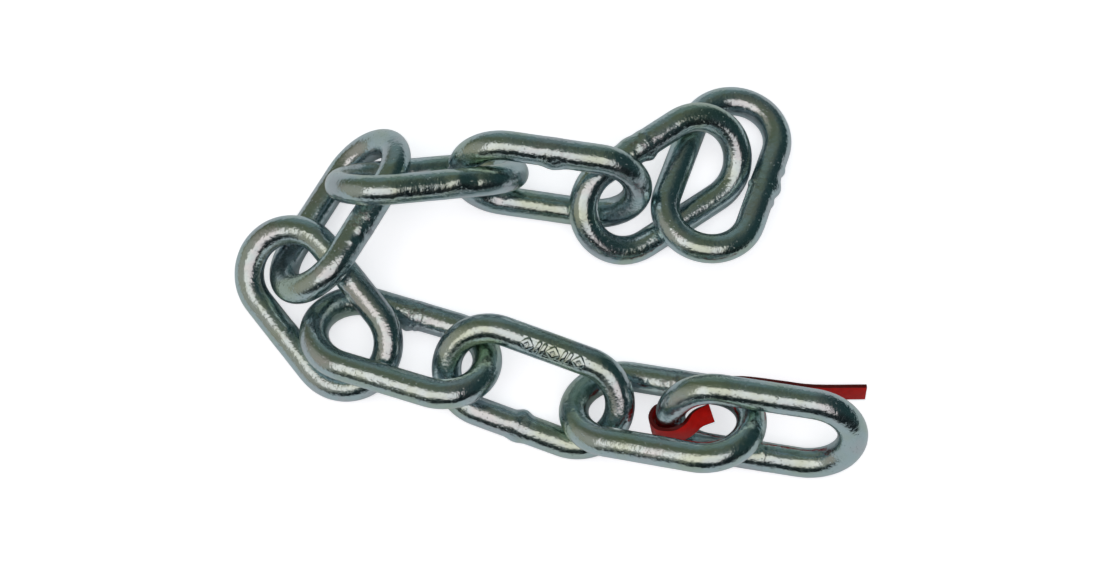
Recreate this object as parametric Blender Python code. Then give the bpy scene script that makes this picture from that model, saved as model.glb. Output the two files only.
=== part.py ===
"""Ten welded links of zinc-plated iron chain lying in a loose heap, with a red plastic tie strap.

Blender 4.5, metres, +Z up, +X to the right, -Y towards the front. The floor is z = 0.
"""

import math

import bmesh
import bpy
import numpy as np
from mathutils import Euler, Vector

MM = 0.001

# The chain's wire and link
WIRE = 8.0 * MM
INNER_LENGTH = 40.0 * MM
INNER_WIDTH = 16.0 * MM
WELD_SWELL = 1.05        # the weld's diameter over the wire's, half way along one rail
WELD_REACH = 4.0 * MM    # how far from the weld's middle the swelling runs out

# How finely a link is cut
BOW_STEPS = 12
RAIL_STEPS = 6           # even, so that one ring sits at the weld
WIRE_RESOLUTION = 4      # 12 sides

# Each link's centre on the floor in mm, the heading of its long side, the rise of its far end
# and its lean about the long side in degrees, and the rail that carries the weld (1 is the left one).
LAYOUT = {
    "link_01": (47.5, 28.5, -110, 11, -1, 1),
    "link_02": (30.5, 25.0, 34, 0, 30, 1),
    "link_03": (0.0, 24.0, -7, -5, 70, 1),
    "link_04": (-33.0, 24.0, 11, -16, -61, -1),
    "link_05": (-57.0, 15.0, 60, -1, -46, -1),
    "link_06": (-62.5, -10.0, -51, -5, 19, -1),
    "link_07": (-40.0, -21.0, -18, 5, -27, 1),
    "link_08": (-4.5, -32.0, -20, -2, 32, -1),
    "link_09": (29.5, -40.5, -13, 16, -29, 1),
    "link_10": (55.5, -43.5, -9, 0, 61, -1),
}

# How the links settle on each other
CLEARANCE = 0.3 * MM     # least gap between two pieces
LOOSEST = 0.8 * MM       # widest gap between a link and the next
SETTLE_ROUNDS = 60
FINE_STEPS = 6           # points of the settling line for each step of the drawn one

# The strap: its middle line in mm from the tail to the other end, and the way its inner face looks.
# It stands on edge behind link_10, passes under link_09 and wraps link_10's left bow.
STRAP_WIDTH = 5.0 * MM
STRAP_THICK = 1.2 * MM
STRAP_STEPS = 4          # cuts between two points of the route
STRAP_ROUTE = [
    ((85.5, -31.7, 2.6), (0.0, -0.87, 0.50)),
    ((71.0, -31.7, 2.6), (0.0, -0.87, 0.50)),
    ((62.0, -30.6, 2.6), (0.0, -0.87, 0.50)),
    ((52.0, -29.4, 2.6), (0.0, -0.87, 0.50)),
    ((45.0, -29.9, 2.6), (0.0, -0.87, 0.50)),
    ((40.5, -32.0, 2.7), (0.1, -0.86, 0.50)),
    ((36.8, -35.0, 3.1), (0.2, -0.82, 0.55)),
    ((33.6, -37.3, 5.2), (0.2, -0.75, 0.63)),
    ((30.8, -38.0, 7.8), (0.3, -0.72, 0.63)),
    ((28.3, -38.9, 9.2), (0.72, -0.51, 0.47)),
    ((27.1, -41.1, 10.3), (0.96, -0.10, 0.27)),
    ((27.3, -43.2, 11.6), (0.94, 0.34, 0.0)),
    ((28.7, -45.1, 12.9), (0.67, 0.69, -0.27)),
    ((31.1, -45.8, 14.1), (0.22, 0.85, -0.47)),
    ((33.6, -45.5, 14.8), (-0.29, 0.79, -0.54)),
    ((36.3, -44.1, 15.0), (-0.50, 0.55, -0.65)),
    ((38.9, -41.3, 14.2), (-0.30, 0.40, -0.87)),
    ((42.6, -39.6, 13.0), (0.0, 0.20, -0.98)),
]

ZINC = (0.40, 0.43, 0.41, 1.0)
RED = (0.42, 0.012, 0.012, 1.0)


def clear_scene():
    for old in list(bpy.data.objects):
        bpy.data.objects.remove(old, do_unlink=True)


def material(name, colour, roughness, metallic):
    made = bpy.data.materials.new(name)
    made.use_nodes = True
    shader = made.node_tree.nodes["Principled BSDF"]
    shader.inputs["Base Color"].default_value = colour
    shader.inputs["Roughness"].default_value = roughness
    shader.inputs["Metallic"].default_value = metallic
    made.diffuse_color = colour
    return made


def link_line(weld_side, finer=1):
    """The centre-line of one flat link, its long side along X, with the wire's radius at each point."""
    bow = (INNER_WIDTH + WIRE) / 2
    half = (INNER_LENGTH + WIRE) / 2 - bow
    places = []
    for side in (1, -1):
        for step in range(RAIL_STEPS * finer):
            along = half * (1 - 2 * step / (RAIL_STEPS * finer))
            places.append(side * Vector((along, bow, 0)))
        for step in range(BOW_STEPS * finer):
            turn = math.pi * step / (BOW_STEPS * finer)
            places.append(side * Vector((-half - bow * math.sin(turn), bow * math.cos(turn), 0)))
    weld = Vector((0, weld_side * bow, 0))
    nearness = [max(0.0, 1 - (place - weld).length / WELD_REACH) for place in places]
    return [(place, WIRE / 2 * (1 + (WELD_SWELL - 1) * near)) for place, near in zip(places, nearness)]


def attitude(heading, rise, lean):
    """A link's rotation from its three angles in degrees."""
    return Euler((math.radians(lean), -math.radians(rise), math.radians(heading)), "XYZ")


def placed_lines():
    """Each link's centre-line, turned and put where LAYOUT says, as rows of x, y, z and radius."""
    lines = []
    for x, y, heading, rise, lean, weld_side in LAYOUT.values():
        turned = attitude(heading, rise, lean).to_matrix()
        centre = Vector((x * MM, y * MM, 0))
        rows = [(*(turned @ place + centre), radius) for place, radius in link_line(weld_side, FINE_STEPS)]
        lines.append(np.array(rows))
    return lines


def shortest(first, second):
    """The shortest step from a point of the first line to a point of the second."""
    steps = second[None, :, :3] - first[:, None, :3]
    return steps.reshape(-1, 3)[(steps ** 2).sum(2).argmin()]


def misfit(step, linked):
    """How far two links must close up, or move apart where it is negative."""
    gap = np.linalg.norm(step) - WIRE
    if gap < CLEARANCE:
        return gap - CLEARANCE
    return max(0.0, gap - LOOSEST) if linked else 0.0


def settled_lines():
    """The centre-lines once each link lies on the floor and hooks its neighbours without touching them."""
    lines = placed_lines()
    for _ in range(SETTLE_ROUNDS):
        for line in lines:
            line[:, 2] -= (line[:, 2] - line[:, 3]).min()
        for one, first in enumerate(lines):
            for other, second in enumerate(lines[one + 1:], one + 1):
                step = shortest(first, second)
                move = step * misfit(step, other == one + 1) / np.linalg.norm(step) / 2
                first[:, :2] += move[:2]
                second[:, :2] -= move[:2]
    return lines


def middle_of(lines):
    """The point on the floor under the middle of the heap's outline."""
    strap_line = [(*(Vector(place) * MM), 0) for place, _ in STRAP_ROUTE]
    points = np.concatenate([*lines, strap_line])
    low = (points[:, :2] - points[:, 3:]).min(axis=0)
    high = (points[:, :2] + points[:, 3:]).max(axis=0)
    return Vector((*(low + high) / 2, 0))


def mesh_of(curve_object):
    """Turns a curve object into a mesh object of the same name."""
    graph = bpy.context.evaluated_depsgraph_get()
    mesh = bpy.data.meshes.new_from_object(curve_object.evaluated_get(graph))
    name = curve_object.name
    bpy.data.objects.remove(curve_object)
    made = bpy.data.objects.new(name, mesh)
    mesh.name = name
    bpy.context.collection.objects.link(made)
    return made


def link(name, centre, heading, rise, lean, weld_side, finish):
    """One closed round-wire link, a little thicker at its weld."""
    curve = bpy.data.curves.new(name, "CURVE")
    curve.dimensions = "3D"
    curve.bevel_depth = WIRE / 2
    curve.bevel_resolution = WIRE_RESOLUTION
    spline = curve.splines.new("POLY")
    spline.use_cyclic_u = True
    line = link_line(weld_side)
    spline.points.add(len(line) - 1)
    for point, (place, radius) in zip(spline.points, line):
        point.co = place.to_4d()
        point.radius = radius / curve.bevel_depth
    drawn = bpy.data.objects.new(name, curve)
    bpy.context.collection.objects.link(drawn)
    made = mesh_of(drawn)
    made.location = centre
    made.rotation_euler = attitude(heading, rise, lean)
    made.data.materials.append(finish)
    for face in made.data.polygons:
        face.use_smooth = True
    return made


def smooth_route(route, steps):
    """Points and facings along a smooth curve through the route's own points."""
    ends = [route[0]] + route + [route[-1]]
    rows = [(Vector(place) * MM, Vector(facing)) for place, facing in ends]
    smooth = []
    for before, start, end, after in zip(rows, rows[1:], rows[2:], rows[3:]):
        for step in range(steps):
            t = step / steps
            smooth.append([
                (2 * b + (c - a) * t + (2 * a - 5 * b + 4 * c - d) * t ** 2 + (3 * b - a - 3 * c + d) * t ** 3) / 2
                for a, b, c, d in zip(before, start, end, after)
            ])
    smooth.append(list(rows[-1]))
    return smooth


def strap(name, finish):
    """A flat strip that follows its route, with square cut ends."""
    route = smooth_route(STRAP_ROUTE, STRAP_STEPS)
    shape = bmesh.new()
    rings = []
    for index, (place, facing) in enumerate(route):
        along = route[min(index + 1, len(route) - 1)][0] - route[max(index - 1, 0)][0]
        across = along.cross(facing).normalized() * STRAP_WIDTH / 2
        through = across.cross(along).normalized() * STRAP_THICK / 2
        corners = (across + through, through - across, -across - through, across - through)
        rings.append([shape.verts.new(place + corner) for corner in corners])
    for ring, following in zip(rings, rings[1:]):
        for corner in range(4):
            after = (corner + 1) % 4
            shape.faces.new((ring[corner], ring[after], following[after], following[corner]))
    shape.faces.new(reversed(rings[0]))
    shape.faces.new(rings[-1])
    bmesh.ops.recalc_face_normals(shape, faces=shape.faces)
    mesh = bpy.data.meshes.new(name)
    shape.to_mesh(mesh)
    shape.free()
    made = bpy.data.objects.new(name, mesh)
    bpy.context.collection.objects.link(made)
    mesh.materials.append(finish)
    return made


def main():
    clear_scene()
    lines = settled_lines()
    zinc = material("zinc_plated_iron", ZINC, 0.28, 1.0)
    pieces = []
    for (name, row), line in zip(LAYOUT.items(), lines):
        centre = Vector(line[:, :3].mean(axis=0))
        pieces.append(link(name, centre, *row[2:], zinc))
    pieces.append(strap("tie_strap", material("red_plastic", RED, 0.35, 0.0)))
    heap = bpy.data.objects.new("heap", None)
    bpy.context.collection.objects.link(heap)
    heap.location = -middle_of(lines)
    for piece in pieces:
        piece.parent = heap


main()
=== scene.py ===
"""Looks of a loose heap of iron chain: ten zinc-plated links and a red plastic tie strap."""

import math

import bpy
import numpy as np
from bpy.props import FloatProperty, FloatVectorProperty, PointerProperty
from mathutils import Matrix, Vector


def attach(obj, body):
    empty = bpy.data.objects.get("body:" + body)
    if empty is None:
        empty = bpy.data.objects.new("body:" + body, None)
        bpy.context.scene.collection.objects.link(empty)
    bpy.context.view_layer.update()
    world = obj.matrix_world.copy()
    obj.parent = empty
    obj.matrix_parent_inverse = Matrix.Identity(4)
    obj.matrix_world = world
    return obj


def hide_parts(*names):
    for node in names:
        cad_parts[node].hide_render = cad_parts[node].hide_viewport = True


bl_info = {
    "name": "Chain heap",
    "version": (1, 0, 0),
    "blender": (4, 5, 0),
    "location": "3D View > Sidebar > Chain",
    "description": "Makes the welded links, the tie strap and the studio round them",
    "category": "Object",
}

MM = 0.001

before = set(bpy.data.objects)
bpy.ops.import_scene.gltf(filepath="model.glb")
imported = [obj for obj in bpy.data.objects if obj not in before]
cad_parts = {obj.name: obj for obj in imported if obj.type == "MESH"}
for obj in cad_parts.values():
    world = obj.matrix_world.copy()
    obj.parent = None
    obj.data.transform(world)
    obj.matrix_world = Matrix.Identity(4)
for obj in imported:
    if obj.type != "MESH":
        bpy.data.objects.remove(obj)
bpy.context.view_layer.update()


def linear(code):
    """A colour's sRGB hex value as linear red, green and blue."""
    levels = [int(code[at:at + 2], 16) / 255 for at in (1, 3, 5)]
    return [
        level / 12.92 if level <= 0.04045 else ((level + 0.055) / 1.055) ** 2.4
        for level in levels
    ]


class ChainSizes(bpy.types.PropertyGroup):
    """The chain's real sizes."""

    wire: FloatProperty(
        name="Wire", description="Diameter of the drawn wire", default=8.0 * MM, unit="LENGTH")
    inner_length: FloatProperty(
        name="Inner length", description="Inside of a link along its rails", default=40.0 * MM,
        unit="LENGTH")
    inner_width: FloatProperty(
        name="Inner width", description="Inside of a link between its rails", default=16.0 * MM,
        unit="LENGTH")
    ripple: FloatProperty(
        name="Ripple", description="How far the bent wire strays from round", default=0.07 * MM,
        unit="LENGTH")
    scab: FloatProperty(
        name="Scab", description="How lumpy the weld's skin is", default=0.09 * MM, unit="LENGTH")
    mark_height: FloatProperty(
        name="Mark height", description="How far the marks stand out", default=0.19 * MM,
        unit="LENGTH")


class ChainFinish(bpy.types.PropertyGroup):
    """The colours of the plating and of the strap."""

    zinc: FloatVectorProperty(
        name="Zinc", description="Plating where it is clean", subtype="COLOR",
        default=linear("#B6CDD2"))
    thick: FloatVectorProperty(
        name="Thick film", description="Plating where the passivation is thick", subtype="COLOR",
        default=linear("#B2C7BC"))
    thin: FloatVectorProperty(
        name="Thin film", description="Plating where the passivation is thin", subtype="COLOR",
        default=linear("#BBC9CF"))
    burnt: FloatVectorProperty(
        name="Burnt", description="Burnt skin at a weld", subtype="COLOR",
        default=linear("#969AA2"))
    red: FloatVectorProperty(
        name="Red", description="The strap's plastic", subtype="COLOR", default=linear("#CE1006"))


class StudioSettings(bpy.types.PropertyGroup):
    """Floor, lamps and camera."""

    floor: FloatVectorProperty(
        name="Floor", description="Colour of the paper floor", subtype="COLOR",
        default=linear("#D4DADF"))
    floor_glow: FloatProperty(
        name="Floor glow", description="Overexposure of the floor for the camera", default=0.65)
    floor_tint: FloatVectorProperty(
        name="Floor tint", description="Colour of that overexposure", subtype="COLOR",
        default=linear("#FBFCFF"))
    window: FloatProperty(
        name="Window", description="Brightness of the soft window, high in front", default=1.14)
    window_colour: FloatVectorProperty(
        name="Window colour", description="Colour of the window's light", subtype="COLOR",
        default=linear("#FFE6E0"))
    overhead: FloatProperty(
        name="Overhead", description="Power of the wide lamp above", default=9.0, subtype="POWER")
    lens: FloatProperty(
        name="Lens", description="Focal length of the camera", default=61.5, unit="CAMERA")


# How finely a link is cut before its surface is smoothed once
WIRE_SIDES = 36
BOW_STEPS = 44
RAIL_STEPS = 40
# Vertices closer than this are joined, where a swept link closes and where the strap's faces meet
LINK_JOIN = 0.01 * MM
STRAP_JOIN = 0.001 * MM

# For each link: the compass heading in degrees from +X towards which its welded rail lies, how
# rough its weld is, and the weld's shape. The shape is patches of along, around, length, spread
# and height, in mm and degrees. Along runs on the rail from the weld's middle. Around is 0 on the
# link's outside, 90 on its upper side and 180 inside.
RING = 360
WELDS = {
    "link_01": (-20, 0.7, [
        (-1.0, 0, 4.5, RING, 0.06), (-6.8, -5, 1.6, 60, 0.40), (-0.8, -5, 3.2, 70, 0.85),
        (3.8, -5, 1.6, 60, 0.35), (-4.8, -5, 0.9, 60, -0.25), (0.0, 160, 1.2, 45, 0.45)]),
    "link_02": (124, 1.1, [
        (0.2, 0, 3.2, RING, 0.08), (1.5, 30, 1.6, 60, 0.22), (1.0, 163, 2.6, 60, 0.75),
        (-3.0, -17, 3.0, 60, 0.35), (-2.2, 75, 1.6, 40, -0.12), (2.6, 70, 1.4, 40, -0.10)]),
    "link_03": (83, 0.4, [
        (-0.6, 0, 3.4, RING, 0.06), (0.0, 128, 4.4, 60, 0.65), (-2.6, 70, 0.6, 60, -0.12),
        (0.6, 75, 2.0, 35, -0.14)]),
    "link_04": (-79, 0.15, [
        (-0.6, 0, 3.4, RING, 0.04), (-4.2, 33, 4.2, 60, 0.60), (-9.4, 15, 1.4, 40, -0.14)]),
    "link_05": (-30, 1.3, [
        (2.0, 0, 4.5, RING, 0.05), (0.6, 15, 1.4, 35, -0.14), (3.0, 30, 1.6, 35, 0.14),
        (5.6, 5, 1.8, 40, -0.18), (7.4, 30, 1.4, 35, 0.16), (3.6, -25, 1.6, 35, -0.12)]),
    "link_06": (-141, 0.4, [
        (0.0, 0, 3.4, RING, 0.05), (0.8, 150, 1.4, 60, 0.20)]),
    "link_07": (72, 1.2, [
        (0.4, 0, 3.2, RING, 0.06), (-1.8, 222, 2.8, 55, 0.95), (0.8, 205, 0.8, 45, 0.40),
        (2.2, 130, 0.8, 60, -0.14), (-0.6, 110, 1.2, 40, -0.12)]),
    "link_08": (-110, 0.4, [
        (-0.5, 0, 3.4, RING, 0.06), (-0.3, -165, 3.0, 60, 0.80), (0.2, 15, 3.2, 60, 0.45),
        (1.7, 130, 2.4, 55, 0.32), (-2.9, 120, 0.6, 70, -0.10)]),
    "link_09": (77, 0.8, [
        (0.0, 0, 3.2, RING, 0.05), (0.7, 115, 1.2, 45, 0.16), (2.0, 110, 0.8, 50, -0.12)]),
    "link_10": (-99, 0.35, [
        (-2.4, 0, 3.0, RING, 0.05), (-3.0, 140, 0.7, 90, -0.08), (-2.0, 175, 1.1, 40, 0.20)]),
}
WELD_SHIFT = 0.5         # mm from the weld's middle to the middle of its rough skin
WELD_REACH = 7.0         # mm of rough skin either way
WELD_CUTS = 1            # extra cuts across each face there
RIPPLE_GRAIN = 6 * MM    # from one ripple of the bent wire to the next
SCAB_GRAIN = 0.9 * MM    # from one lump of a weld's skin to the next

# The marks, in mm: which link, their panel's middle along the rail and its place around the wire
# in degrees, the panel's two sides, and half the width of a stroke with its softened flank
MARKED = "link_08"
MARK_MIDDLE = -2.3
MARK_AROUND = 88
MARK_LENGTH = 18.0
MARK_WIDTH = 4.2
MARK_STROKE = 0.24
MARK_SOFT = 0.45
MARK_PITCH = 3.6         # from one mark to the next
MARK_HALF_WIDTH = 1.3    # of a lozenge
MARK_HALF_HEIGHT = 1.4   # of a lozenge or a bar
BAR_SLANT = 0.35         # half of how far a bar leans
BAR_APART = 0.75         # from a pair's middle to each of its bars
PANEL_EDGE = 0.5         # over which the panel sinks
PANEL_DEPTH = 0.4        # as a share of the marks' height
# The finer cut there: mm past the panel's ends, degrees either side of it, cuts across each face
MARK_MARGIN = 1.0
MARK_SPREAD = 42
MARK_CUTS = 2

# The vertex attribute that says how rough the weld's skin is, 0 where it ends
WELD_SKIN = "weld_skin"
# How much duller, and how much more grained, a weld's skin is for each unit of its roughness
WELD_DULLER = 0.04
WELD_COARSER = 0.7

# The plating's patterns: how wide each is, and how deep the three in relief are
PATCH_SIZE = 12 * MM
GRAIN_SIZE = 0.8 * MM
SPECK_SIZE = 1.5 * MM
PIT_SPACING = 1.5 * MM
WAVE_SIZE = 3 * MM
GRAIN_DEPTH = 0.085 * MM
PIT_DEPTH = 0.06 * MM
WAVE_DEPTH = 0.16 * MM

# The face attribute that is 1 on the strap's slit edges, where shade is painted, and a length that
# only broad faces have
STRAP_EDGE_PAINTED_SHADE = "slit_edge_painted_shade"
BROAD = 4.4 * MM
# The strap's rounding, and the angles above which an edge is rounded and shown sharp
STRAP_BEVEL = 0.15 * MM
BEVEL_SEGMENTS = 3
BEVEL_ANGLE = math.radians(50)
SHARP_ANGLE = math.radians(40)
# Its streaks, how dark the streaks are as a share of its colour, and how dark the painted shade on
# the slit edges is as a share of its colour
STREAK_SIZE = 1.5 * MM
STREAK_DEPTH = 0.05 * MM
STREAK_SHADE = 0.55
SLIT_PAINTED_SHADE = 0.12


def node(tree, kind, inputs=None, **settings):
    """Adds a shader node with its settings, and its inputs set or linked."""
    made = tree.nodes.new(kind)
    for name, value in settings.items():
        setattr(made, name, value)
    for name, value in (inputs or {}).items():
        if isinstance(value, bpy.types.NodeSocket):
            tree.links.new(value, made.inputs[name])
        else:
            made.inputs[name].default_value = value
    return made


def opaque(colour):
    """A colour of three levels as one of four, fully opaque."""
    return (*colour, 1.0)


def new_material(name):
    """An empty node material, with its tree."""
    made = bpy.data.materials.new(name)
    made.use_nodes = True
    made.node_tree.nodes.clear()
    return made, made.node_tree


def zinc_plate(finish):
    """Electro-plated zinc over drawn iron wire, chromate passivated.

    To the eye it is a bright blue-grey metal with faint greener and greyer patches. Its skin is
    grained and finely pitted, so a reflection's edge breaks into specks, and it is coarser and
    burnt at the welds.
    """
    made, tree = new_material("bright_zinc_plate")
    place = node(tree, "ShaderNodeTexCoord").outputs["Object"]
    weld = node(tree, "ShaderNodeAttribute", attribute_name=WELD_SKIN).outputs["Fac"]
    # Patches of thicker and of thinner passivation
    patches = node(tree, "ShaderNodeTexNoise", {
        "Vector": place, "Scale": 1 / PATCH_SIZE, "Detail": 3.0})
    thick = node(tree, "ShaderNodeMapRange", {
        "Value": patches.outputs["Fac"], "From Min": 0.50, "From Max": 0.66})
    thin = node(tree, "ShaderNodeMapRange", {
        "Value": patches.outputs["Fac"], "From Min": 0.48, "From Max": 0.38})
    green = node(tree, "ShaderNodeMix", {
        "Factor": thick.outputs["Result"], "A": opaque(finish.zinc), "B": opaque(finish.thick)},
        data_type="RGBA")
    plate = node(tree, "ShaderNodeMix", {
        "Factor": thin.outputs["Result"], "A": green.outputs["Result"],
        "B": opaque(finish.thin)}, data_type="RGBA")
    # Grain of the plating, drawn wide enough to show
    grain = node(tree, "ShaderNodeTexNoise", {
        "Vector": place, "Scale": 1 / GRAIN_SIZE, "Detail": 2.0, "Roughness": 0.55})
    # Burnt specks, on the weld's skin only
    specks = node(tree, "ShaderNodeTexNoise", {
        "Vector": place, "Scale": 1 / SPECK_SIZE, "Detail": 2.0})
    burnt = node(tree, "ShaderNodeMapRange", {
        "Value": specks.outputs["Fac"], "From Min": 0.50, "From Max": 0.62, "To Max": 0.6})
    share = node(tree, "ShaderNodeMath", {
        0: burnt.outputs["Result"], 1: weld}, operation="MULTIPLY")
    colour = node(tree, "ShaderNodeMix", {
        "Factor": share.outputs[0], "A": plate.outputs["Result"], "B": opaque(finish.burnt)},
        data_type="RGBA")
    gloss = node(tree, "ShaderNodeMapRange", {
        "Value": grain.outputs["Fac"], "From Min": 0.35, "From Max": 0.65, "To Min": 0.12,
        "To Max": 0.23})
    duller = node(tree, "ShaderNodeMath", {
        0: weld, 1: WELD_DULLER, 2: gloss.outputs["Result"]}, operation="MULTIPLY_ADD")
    coarser = node(tree, "ShaderNodeMath", {
        0: weld, 1: WELD_COARSER, 2: 1.0}, operation="MULTIPLY_ADD")
    relief = node(tree, "ShaderNodeMath", {
        0: grain.outputs["Fac"], 1: coarser.outputs[0]}, operation="MULTIPLY")
    # Small pits, each a soft-edged dip round the middle of its cell
    pits = node(tree, "ShaderNodeTexVoronoi", {"Vector": place, "Scale": 1 / PIT_SPACING})
    depth = node(tree, "ShaderNodeMapRange", {
        "Value": pits.outputs["Distance"], "From Min": 0.06, "From Max": 0.16},
        interpolation_type="SMOOTHSTEP")
    # Shallow waves that drawing and bending leave
    waves = node(tree, "ShaderNodeTexNoise", {
        "Vector": place, "Scale": 1 / WAVE_SIZE, "Detail": 2.0})
    normal = None
    for height, distance in (
            (waves.outputs["Fac"], WAVE_DEPTH), (relief.outputs[0], GRAIN_DEPTH),
            (depth.outputs["Result"], PIT_DEPTH)):
        bump = node(tree, "ShaderNodeBump", {
            "Height": height, "Strength": 1.0, "Distance": distance})
        if normal is not None:
            tree.links.new(normal, bump.inputs["Normal"])
        normal = bump.outputs["Normal"]
    shader = node(tree, "ShaderNodeBsdfPrincipled", {
        "Base Color": colour.outputs["Result"], "Metallic": 1.0, "Roughness": duller.outputs[0],
        "Normal": normal})
    node(tree, "ShaderNodeOutputMaterial", {"Surface": shader.outputs["BSDF"]})
    return made


def red_plastic(finish):
    """Extruded polypropylene, slit to width: deep red and glossy, with painted shade darkening its
    slit edges.
    """
    made, tree = new_material("red_polypropylene")
    place = node(tree, "ShaderNodeTexCoord").outputs["Object"]
    streaks = node(tree, "ShaderNodeTexNoise", {
        "Vector": place, "Scale": 1 / STREAK_SIZE, "Detail": 2.0})
    face = node(tree, "ShaderNodeMix", {
        "Factor": streaks.outputs["Fac"],
        "A": opaque(level * STREAK_SHADE for level in finish.red),
        "B": opaque(finish.red)}, data_type="RGBA")
    # Painted shade: the slit edges are mixed towards a near-black red
    edge = node(tree, "ShaderNodeAttribute", attribute_name=STRAP_EDGE_PAINTED_SHADE)
    colour = node(tree, "ShaderNodeMix", {
        "Factor": edge.outputs["Fac"], "A": face.outputs["Result"],
        "B": opaque(level * SLIT_PAINTED_SHADE for level in finish.red)}, data_type="RGBA")
    bump = node(tree, "ShaderNodeBump", {
        "Height": streaks.outputs["Fac"], "Strength": 1.0, "Distance": STREAK_DEPTH})
    shader = node(tree, "ShaderNodeBsdfPrincipled", {
        "Base Color": colour.outputs["Result"], "Roughness": 0.32, "Specular IOR Level": 0.3,
        "Normal": bump.outputs["Normal"]})
    node(tree, "ShaderNodeOutputMaterial", {"Surface": shader.outputs["BSDF"]})
    return made


def paper(settings):
    """Smooth pale backdrop paper, overexposed for the camera as on a cut-out photograph."""
    made, tree = new_material("backdrop_paper")
    shader = node(tree, "ShaderNodeBsdfPrincipled", {
        "Base Color": opaque(settings.floor), "Roughness": 0.9, "Specular IOR Level": 0.1})
    glow = node(tree, "ShaderNodeEmission", {
        "Color": opaque(settings.floor_tint), "Strength": settings.floor_glow})
    lit = node(tree, "ShaderNodeAddShader", {
        0: shader.outputs["BSDF"], 1: glow.outputs["Emission"]})
    seen = node(tree, "ShaderNodeLightPath")
    both = node(tree, "ShaderNodeMixShader", {
        "Fac": seen.outputs["Is Camera Ray"], 1: shader.outputs["BSDF"],
        2: lit.outputs["Shader"]})
    node(tree, "ShaderNodeOutputMaterial", {"Surface": both.outputs["Shader"]})
    return made


def select_only(piece):
    """Makes this piece the only selected one, and the active one."""
    bpy.ops.object.select_all(action="DESELECT")
    piece.select_set(True)
    bpy.context.view_layer.objects.active = piece


def smooth(piece):
    """Divides the whole surface once and rounds it."""
    select_only(piece)
    finer = piece.modifiers.new("finer", "SUBSURF")
    finer.levels = 1
    finer.render_levels = 1
    bpy.ops.object.modifier_apply(modifier="finer")


def refine(piece, chosen, cuts):
    """Cuts the faces that have only chosen vertices into smaller ones."""
    select_only(piece)
    bpy.context.tool_settings.mesh_select_mode = (False, False, True)
    bpy.ops.object.mode_set(mode="EDIT")
    bpy.ops.mesh.select_all(action="DESELECT")
    bpy.ops.object.mode_set(mode="OBJECT")
    inside = [bool(chosen[list(face.vertices)].all()) for face in piece.data.polygons]
    piece.data.polygons.foreach_set("select", inside)
    bpy.ops.object.mode_set(mode="EDIT")
    bpy.ops.mesh.subdivide(number_cuts=cuts)
    bpy.ops.object.mode_set(mode="OBJECT")


def link_reach(sizes):
    """The bows' radius at the wire's middle, and half the length of a straight rail."""
    bow = (sizes.inner_width + sizes.wire) / 2
    return bow, (sizes.inner_length + sizes.wire) / 2 - bow


def plain_link(sizes):
    """A smooth link lying flat at the origin, its rails along X, swept from one ring of wire."""
    bow, half = link_reach(sizes)
    bpy.ops.object.select_all(action="DESELECT")
    bpy.ops.mesh.primitive_circle_add(
        vertices=WIRE_SIDES, radius=sizes.wire / 2, location=(half, -bow, 0),
        rotation=(0, math.pi / 2, 0))
    made = bpy.context.object
    bpy.ops.object.transform_apply(location=True, rotation=True, scale=True)
    bpy.ops.object.mode_set(mode="EDIT")
    bpy.ops.mesh.select_all(action="SELECT")
    for end in (1, -1):
        bpy.ops.mesh.spin(
            steps=BOW_STEPS, angle=-math.pi, center=(end * half, 0, 0), axis=(0, 0, 1))
        for _ in range(RAIL_STEPS):
            step = (-end * 2 * half / RAIL_STEPS, 0, 0)
            bpy.ops.mesh.extrude_region_move(TRANSFORM_OT_translate={"value": step})
    bpy.ops.mesh.select_all(action="SELECT")
    bpy.ops.mesh.remove_doubles(threshold=LINK_JOIN)
    bpy.ops.mesh.normals_make_consistent(inside=False)
    bpy.ops.object.mode_set(mode="OBJECT")
    smooth(made)
    bpy.ops.object.shade_smooth()
    return made


def points_of(piece):
    """A mesh's vertices as rows of x, y and z."""
    flat = np.empty(len(piece.data.vertices) * 3)
    piece.data.vertices.foreach_get("co", flat)
    return flat.reshape(-1, 3)


def wire_places(piece, sizes):
    """For a flat link: mm along the rail, which rail (1 is the welded one), degrees round it."""
    bow, half = link_reach(sizes)
    x, y, z = points_of(piece).T
    reach = np.hypot(x - np.clip(x, -half, half), y)
    around = np.degrees(np.arctan2(z, reach - bow))
    return x / MM, np.sign(y), around


def note_weld(piece, shares):
    """Stores how rough the weld's skin is at each vertex."""
    stored = piece.data.attributes.new(WELD_SKIN, "FLOAT", "POINT")
    stored.data.foreach_set("value", shares)


def hump(ratio):
    """1 at the middle, 0 from one away on, with no edge between."""
    return np.cos(np.clip(np.abs(ratio), 0, 1) * math.pi / 2) ** 2


def apart(around, middle):
    """Degrees between two places round the wire."""
    return (around - middle + 180) % 360 - 180


def weld_heights(places, rows):
    """Heights of a weld's patches at each vertex."""
    along, rail, around = places
    heights = np.zeros(len(along))
    for start, middle, length, spread, height in rows:
        share = hump((along - start) / length) * (rail > 0)
        if spread < RING:
            share = share * hump(apart(around, middle) / spread)
        heights += share * height * MM
    return heights


def mark_runs():
    """The plain marks as runs of points in mm on their panel: lozenges, slanting bars between."""
    wide, high = MARK_HALF_WIDTH, MARK_HALF_HEIGHT
    lozenge = np.array(((wide, 0), (0, high), (-wide, 0), (0, -high), (wide, 0)))
    bar = np.array(((-BAR_SLANT, -high), (BAR_SLANT, high)))
    runs = []
    for middle in (-2 * MARK_PITCH, 0, 2 * MARK_PITCH):
        runs.append(lozenge + (MARK_MIDDLE + middle, 0))
    for middle in (-MARK_PITCH, MARK_PITCH):
        for shift in (-BAR_APART, BAR_APART):
            runs.append(bar + (MARK_MIDDLE + middle + shift, 0))
    return runs


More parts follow.
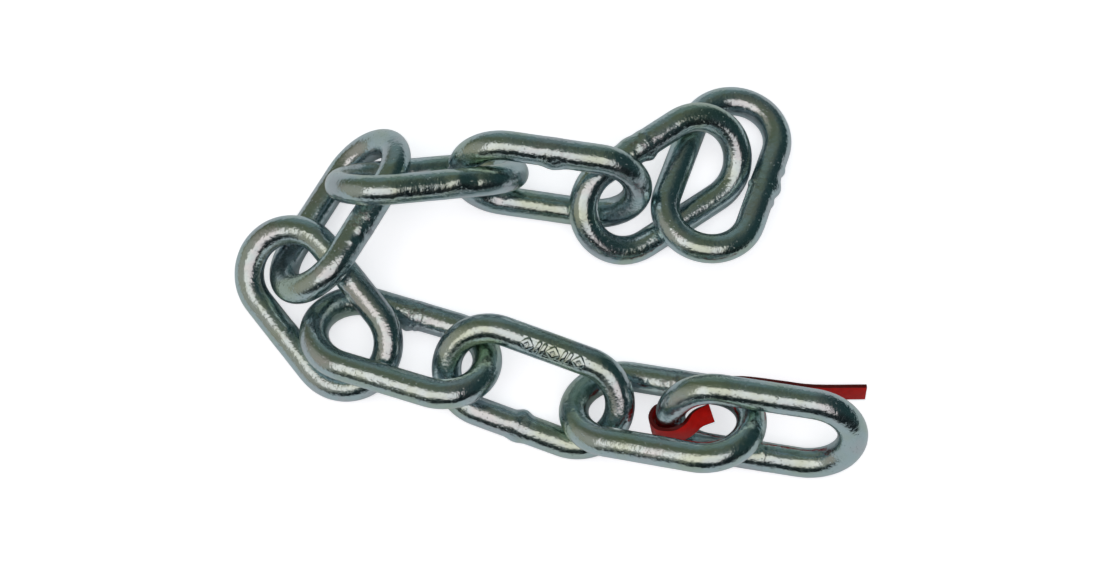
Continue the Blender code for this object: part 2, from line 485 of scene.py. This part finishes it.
def mark_heights(places, sizes):
    """Heights of the marks, which stand up in a shallow panel on the rail without the weld."""
    along, rail, around = places
    radius = sizes.wire / 2 / MM
    across = np.radians(apart(around, MARK_AROUND)) * radius
    spots = np.column_stack((along, across))
    nearest = np.full(len(along), np.inf)
    for run in mark_runs():
        for start, end in zip(run, run[1:]):
            step = end - start
            share = np.clip((spots - start) @ step / (step @ step), 0, 1)
            away = np.linalg.norm(spots - start - share[:, None] * step, axis=1)
            nearest = np.minimum(nearest, away)
    stroke = np.clip((MARK_STROKE + MARK_SOFT - nearest) / MARK_SOFT, 0, 1)
    edge = np.minimum(
        MARK_LENGTH / 2 - np.abs(along - MARK_MIDDLE), MARK_WIDTH / 2 - np.abs(across))
    panel = np.clip(edge / PANEL_EDGE, 0, 1)
    return (rail < 0) * sizes.mark_height * (hump(1 - stroke) - PANEL_DEPTH * panel)


def press(piece, heights):
    """Raises and sinks the surface by these heights, one for each vertex."""
    select_only(piece)
    for sign, name in ((1, "raised"), (-1, "sunk")):
        share = np.clip(sign * heights, 0, None)
        top = share.max()
        if top == 0:
            continue
        group = piece.vertex_groups.new(name=name)
        for index in np.flatnonzero(share):
            group.add([int(index)], share[index] / top, "REPLACE")
        push = piece.modifiers.new(name, "DISPLACE")
        push.vertex_group = name
        push.strength = sign * top
        push.mid_level = 0.0
        bpy.ops.object.modifier_apply(modifier=name)
    piece.vertex_groups.clear()


def roughen(piece, name, grain, depth, shares=None):
    """Displaces the surface by a cloudy pattern, all over or by each vertex's share."""
    select_only(piece)
    cloud = bpy.data.textures.new(name, "CLOUDS")
    cloud.noise_scale = grain
    push = piece.modifiers.new(name, "DISPLACE")
    push.texture = cloud
    push.texture_coords = "LOCAL"
    push.strength = depth
    if shares is not None:
        group = piece.vertex_groups.new(name=name)
        for index in np.flatnonzero(shares):
            group.add([int(index)], shares[index] / shares.max(), "REPLACE")
        push.vertex_group = name
        push.strength = depth * shares.max()
    bpy.ops.object.modifier_apply(modifier=name)
    piece.vertex_groups.clear()


def lie_of(name, towards):
    """Where a link lies: X along its rails, Y towards its weld, Z to its upper side."""
    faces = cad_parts[name].data.polygons
    centres = np.array([face.center for face in faces])
    areas = np.array([face.area for face in faces])
    middle = np.average(centres, axis=0, weights=areas)
    _, axes = np.linalg.eigh(np.cov(centres.T, aweights=areas))
    across = Vector(axes[:, 1])
    upper = Vector(axes[:, 0])
    heading = math.radians(towards)
    if across.dot(Vector((math.cos(heading), math.sin(heading), 0))) < 0:
        across.negate()
    if upper.z < 0:
        upper.negate()
    turned = Matrix((across.cross(upper), across, upper)).transposed()
    return Matrix.Translation(middle) @ turned.to_4x4()


def on_panel(places):
    """Which vertices lie on the marks' panel or close round it."""
    along, rail, around = places
    lengthwise = np.abs(along - MARK_MIDDLE) < MARK_LENGTH / 2 + MARK_MARGIN
    sideways = np.abs(apart(around, MARK_AROUND)) < MARK_SPREAD
    return lengthwise & sideways & (rail < 0)


class CHAIN_OT_links(bpy.types.Operator):
    """Make the ten welded links where the heap has them"""

    bl_idname = "chain.links"
    bl_label = "Links"

    def execute(self, context):
        sizes = context.scene.chain_sizes
        plate = zinc_plate(context.scene.chain_finish)
        pattern = plain_link(sizes)
        along, rail, _ = wire_places(pattern, sizes)
        refine(pattern, (np.abs(along - WELD_SHIFT) < WELD_REACH) & (rail > 0), WELD_CUTS)
        for name, (towards, roughness, rows) in WELDS.items():
            piece = bpy.data.objects.new(f"zinc_{name}", pattern.data.copy())
            context.collection.objects.link(piece)
            if name == MARKED:
                refine(piece, on_panel(wire_places(piece, sizes)), MARK_CUTS)
            places = wire_places(piece, sizes)
            along, rail, _ = places
            near = roughness * hump((along - WELD_SHIFT) / WELD_REACH) * (rail > 0)
            note_weld(piece, near)
            heights = weld_heights(places, rows)
            if name == MARKED:
                heights += mark_heights(places, sizes)
            press(piece, heights)
            select_only(piece)
            piece.matrix_world = lie_of(name, towards)
            bpy.ops.object.transform_apply(location=True, rotation=True, scale=True)
            roughen(piece, "ripple", RIPPLE_GRAIN, sizes.ripple)
            roughen(piece, "scab", SCAB_GRAIN, sizes.scab, near)
            piece.data.materials.clear()
            piece.data.materials.append(plate)
            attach(piece, "root")
            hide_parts(name)
        bpy.data.objects.remove(pattern)
        return {"FINISHED"}


def longest_side(piece, face):
    """The length of a face's longest edge."""
    corners = [piece.data.vertices[index].co for index in face.vertices]
    return max((one - other).length for one, other in zip(corners, corners[1:] + corners[:1]))


class CHAIN_OT_strap(bpy.types.Operator):
    """Make the red strap from the CAD strap, with rounded edges"""

    bl_idname = "chain.strap"
    bl_label = "Strap"

    def execute(self, context):
        piece = bpy.data.objects.new("red_tie_strap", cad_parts["tie_strap"].data.copy())
        context.collection.objects.link(piece)
        select_only(piece)
        bpy.ops.object.mode_set(mode="EDIT")
        bpy.ops.mesh.select_all(action="SELECT")
        bpy.ops.mesh.remove_doubles(threshold=STRAP_JOIN)
        bpy.ops.mesh.tris_convert_to_quads()
        bpy.ops.object.mode_set(mode="OBJECT")
        rounded = piece.modifiers.new("rounded", "BEVEL")
        rounded.width = STRAP_BEVEL
        rounded.segments = BEVEL_SEGMENTS
        rounded.limit_method = "ANGLE"
        rounded.angle_limit = BEVEL_ANGLE
        bpy.ops.object.modifier_apply(modifier="rounded")
        bpy.ops.object.shade_smooth_by_angle(angle=SHARP_ANGLE)
        # Narrow faces are the slit edges, which the material darkens with painted shade
        narrow = [float(longest_side(piece, face) < BROAD) for face in piece.data.polygons]
        slit = piece.data.attributes.new(STRAP_EDGE_PAINTED_SHADE, "FLOAT", "FACE")
        slit.data.foreach_set("value", narrow)
        piece.data.materials.clear()
        piece.data.materials.append(red_plastic(context.scene.chain_finish))
        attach(piece, "root")
        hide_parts("tie_strap")
        return {"FINISHED"}


# The camera looks at this point of the floor, from this far and this high above the horizon
AIM = Vector((0.2 * MM, 0.9 * MM, 0))
CAMERA_DISTANCE = 519 * MM
CAMERA_ELEVATION = math.radians(74.8)
NEAREST_SEEN = 10 * MM
# The window: its middle's heading and height above the horizon in degrees, its distance and its
# two sides
WINDOW_HEADING = -101
WINDOW_ELEVATION = 64
WINDOW_DISTANCE = 0.8
WINDOW_SIZE = (1.0, 0.70)
# The wide lamp above, which only the floor and the plastic see
OVERHEAD_HEIGHT = 1.2
OVERHEAD_SIZE = 1.6
FLOOR_SIDE = 4.0
# The room's walls: a base colour, then patches of heading, height above the horizon, reach and
# colour, and the pale colour that the camera sees in their place
ROOM_BASE = "#4D5B5C"
ROOM_PATCHES = [
    (80, 78, 50, "#929083"),      # paler, overhead
    (135, 35, 75, "#6A6C58"),     # olive, at the back to the left
    (90, 8, 45, "#818E8C"),       # lighter, low at the back
    (-165, 22, 55, "#B5A99A"),    # pale beige, low to the left
    (5, 25, 75, "#2C4040"),       # dark teal, to the right
    (-62, 8, 55, "#181F21"),      # nearly black, low in front to the right
    (-100, 5, 40, "#1F2627"),     # nearly black, low in front
]
ROOM_SEEN = "#F2F4F4"


def lamp(name, place, size, power):
    """A rectangular soft lamp that faces the heap."""
    made = bpy.data.lights.new(name, "AREA")
    made.shape = "RECTANGLE"
    made.size, made.size_y = size
    made.energy = power
    lit = bpy.data.objects.new(name, made)
    lit.location = place
    lit.rotation_euler = Vector(place).to_track_quat("Z", "Y").to_euler()
    bpy.context.collection.objects.link(lit)
    return lit


def toward(heading, elevation):
    """The direction with this heading from +X and this height above the horizon, in degrees."""
    flat = math.cos(math.radians(elevation))
    turn = math.radians(heading)
    return Vector((flat * math.cos(turn), flat * math.sin(turn), math.sin(math.radians(elevation))))


def room(scene):
    """A dim room in broad patches for the metal to reflect, pale where the camera sees it."""
    world = bpy.data.worlds.new("room")
    world.use_nodes = True
    tree = world.node_tree
    tree.nodes.clear()
    facing = node(tree, "ShaderNodeTexCoord").outputs["Generated"]
    shade = node(tree, "ShaderNodeRGB").outputs["Color"]
    shade.default_value = opaque(linear(ROOM_BASE))
    for heading, elevation, reach, colour in ROOM_PATCHES:
        near = node(tree, "ShaderNodeVectorMath", {
            0: facing, 1: toward(heading, elevation)}, operation="DOT_PRODUCT")
        share = node(tree, "ShaderNodeMapRange", {
            "Value": near.outputs["Value"], "From Min": math.cos(math.radians(reach)),
            "From Max": 1.0}, interpolation_type="SMOOTHSTEP")
        shade = node(tree, "ShaderNodeMix", {
            "Factor": share.outputs["Result"], "A": shade, "B": opaque(linear(colour))},
            data_type="RGBA").outputs["Result"]
    seen = node(tree, "ShaderNodeLightPath")
    dim = node(tree, "ShaderNodeBackground", {"Color": shade, "Strength": 1.0})
    pale = node(tree, "ShaderNodeBackground", {
        "Color": opaque(linear(ROOM_SEEN)), "Strength": 1.0})
    both = node(tree, "ShaderNodeMixShader", {
        "Fac": seen.outputs["Is Camera Ray"], 1: dim.outputs["Background"],
        2: pale.outputs["Background"]})
    node(tree, "ShaderNodeOutputWorld", {"Surface": both.outputs["Shader"]})
    scene.world = world


class CHAIN_OT_studio(bpy.types.Operator):
    """Make the pale floor, the soft lamps and the camera"""

    bl_idname = "chain.studio"
    bl_label = "Studio"

    def execute(self, context):
        settings = context.scene.chain_studio
        scene = context.scene
        scene.view_settings.view_transform = "Standard"
        bpy.ops.object.select_all(action="DESELECT")
        bpy.ops.mesh.primitive_plane_add(size=FLOOR_SIDE)
        floor = context.object
        floor.name = "floor"
        floor.data.materials.append(paper(settings))
        place = WINDOW_DISTANCE * toward(WINDOW_HEADING, WINDOW_ELEVATION)
        watts = settings.window * math.pi * WINDOW_SIZE[0] * WINDOW_SIZE[1]
        window = lamp("window", place, WINDOW_SIZE, watts)
        window.data.color = settings.window_colour
        overhead = lamp(
            "overhead", (0, 0, OVERHEAD_HEIGHT), (OVERHEAD_SIZE, OVERHEAD_SIZE), settings.overhead)
        overhead.visible_glossy = False
        room(scene)
        camera = bpy.data.objects.new("camera", bpy.data.cameras.new("camera"))
        camera.data.lens = settings.lens
        camera.data.clip_start = NEAREST_SEEN
        away = Vector((0, -math.cos(CAMERA_ELEVATION), math.sin(CAMERA_ELEVATION)))
        camera.location = AIM + CAMERA_DISTANCE * away
        camera.rotation_euler = (math.pi / 2 - CAMERA_ELEVATION, 0, 0)
        context.collection.objects.link(camera)
        scene.camera = camera
        return {"FINISHED"}


class CHAIN_PT_panel(bpy.types.Panel):
    """The chain's sizes, colours and pieces"""

    bl_idname = "CHAIN_PT_panel"
    bl_label = "Chain heap"
    bl_space_type = "VIEW_3D"
    bl_region_type = "UI"
    bl_category = "Chain"

    def draw(self, context):
        for setting in GROUPS:
            group = getattr(context.scene, setting)
            for name in group.__annotations__:
                self.layout.prop(group, name)
        for operator in OPERATORS:
            self.layout.operator(operator.bl_idname)


GROUPS = {"chain_sizes": ChainSizes, "chain_finish": ChainFinish, "chain_studio": StudioSettings}
OPERATORS = (CHAIN_OT_links, CHAIN_OT_strap, CHAIN_OT_studio)


def register():
    for name, group in GROUPS.items():
        bpy.utils.register_class(group)
        setattr(bpy.types.Scene, name, PointerProperty(type=group))
    for shown in (*OPERATORS, CHAIN_PT_panel):
        bpy.utils.register_class(shown)


def unregister():
    for shown in (CHAIN_PT_panel, *reversed(OPERATORS)):
        bpy.utils.unregister_class(shown)
    for name, group in GROUPS.items():
        delattr(bpy.types.Scene, name)
        bpy.utils.unregister_class(group)


def main():
    register()
    bpy.ops.chain.links()
    bpy.ops.chain.strap()
    bpy.ops.chain.studio()


if __name__ == "__main__":
    main()
